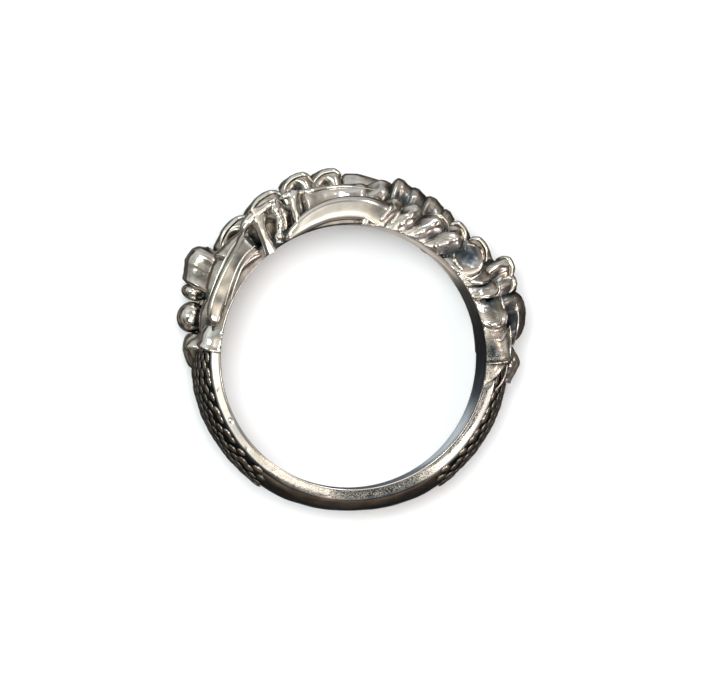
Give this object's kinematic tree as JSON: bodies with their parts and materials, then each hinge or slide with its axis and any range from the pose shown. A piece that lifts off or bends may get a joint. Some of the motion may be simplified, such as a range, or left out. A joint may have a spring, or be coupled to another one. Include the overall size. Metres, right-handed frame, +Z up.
{
  "type": "claw ring",
  "caption": "Finger ring whose band swells into two scaled feet, one on each shoulder, that clasp across the head with curved claws.",
  "frame": {"origin": "on the axis of the finger hole, in the plane that the ring lies on", "axes": "+Z up, along the finger hole; +Y from the back of the band to the head; +X to the right in the picture"},
  "size_m": [0.0247, 0.0247, 0.0102],
  "materials": {
    "silver": "cast silver, polished on the high places and blackened in the recesses"
  },
  "bodies": {
    "root": {"claw_ring": "silver"}
  },
  "joints": []
}
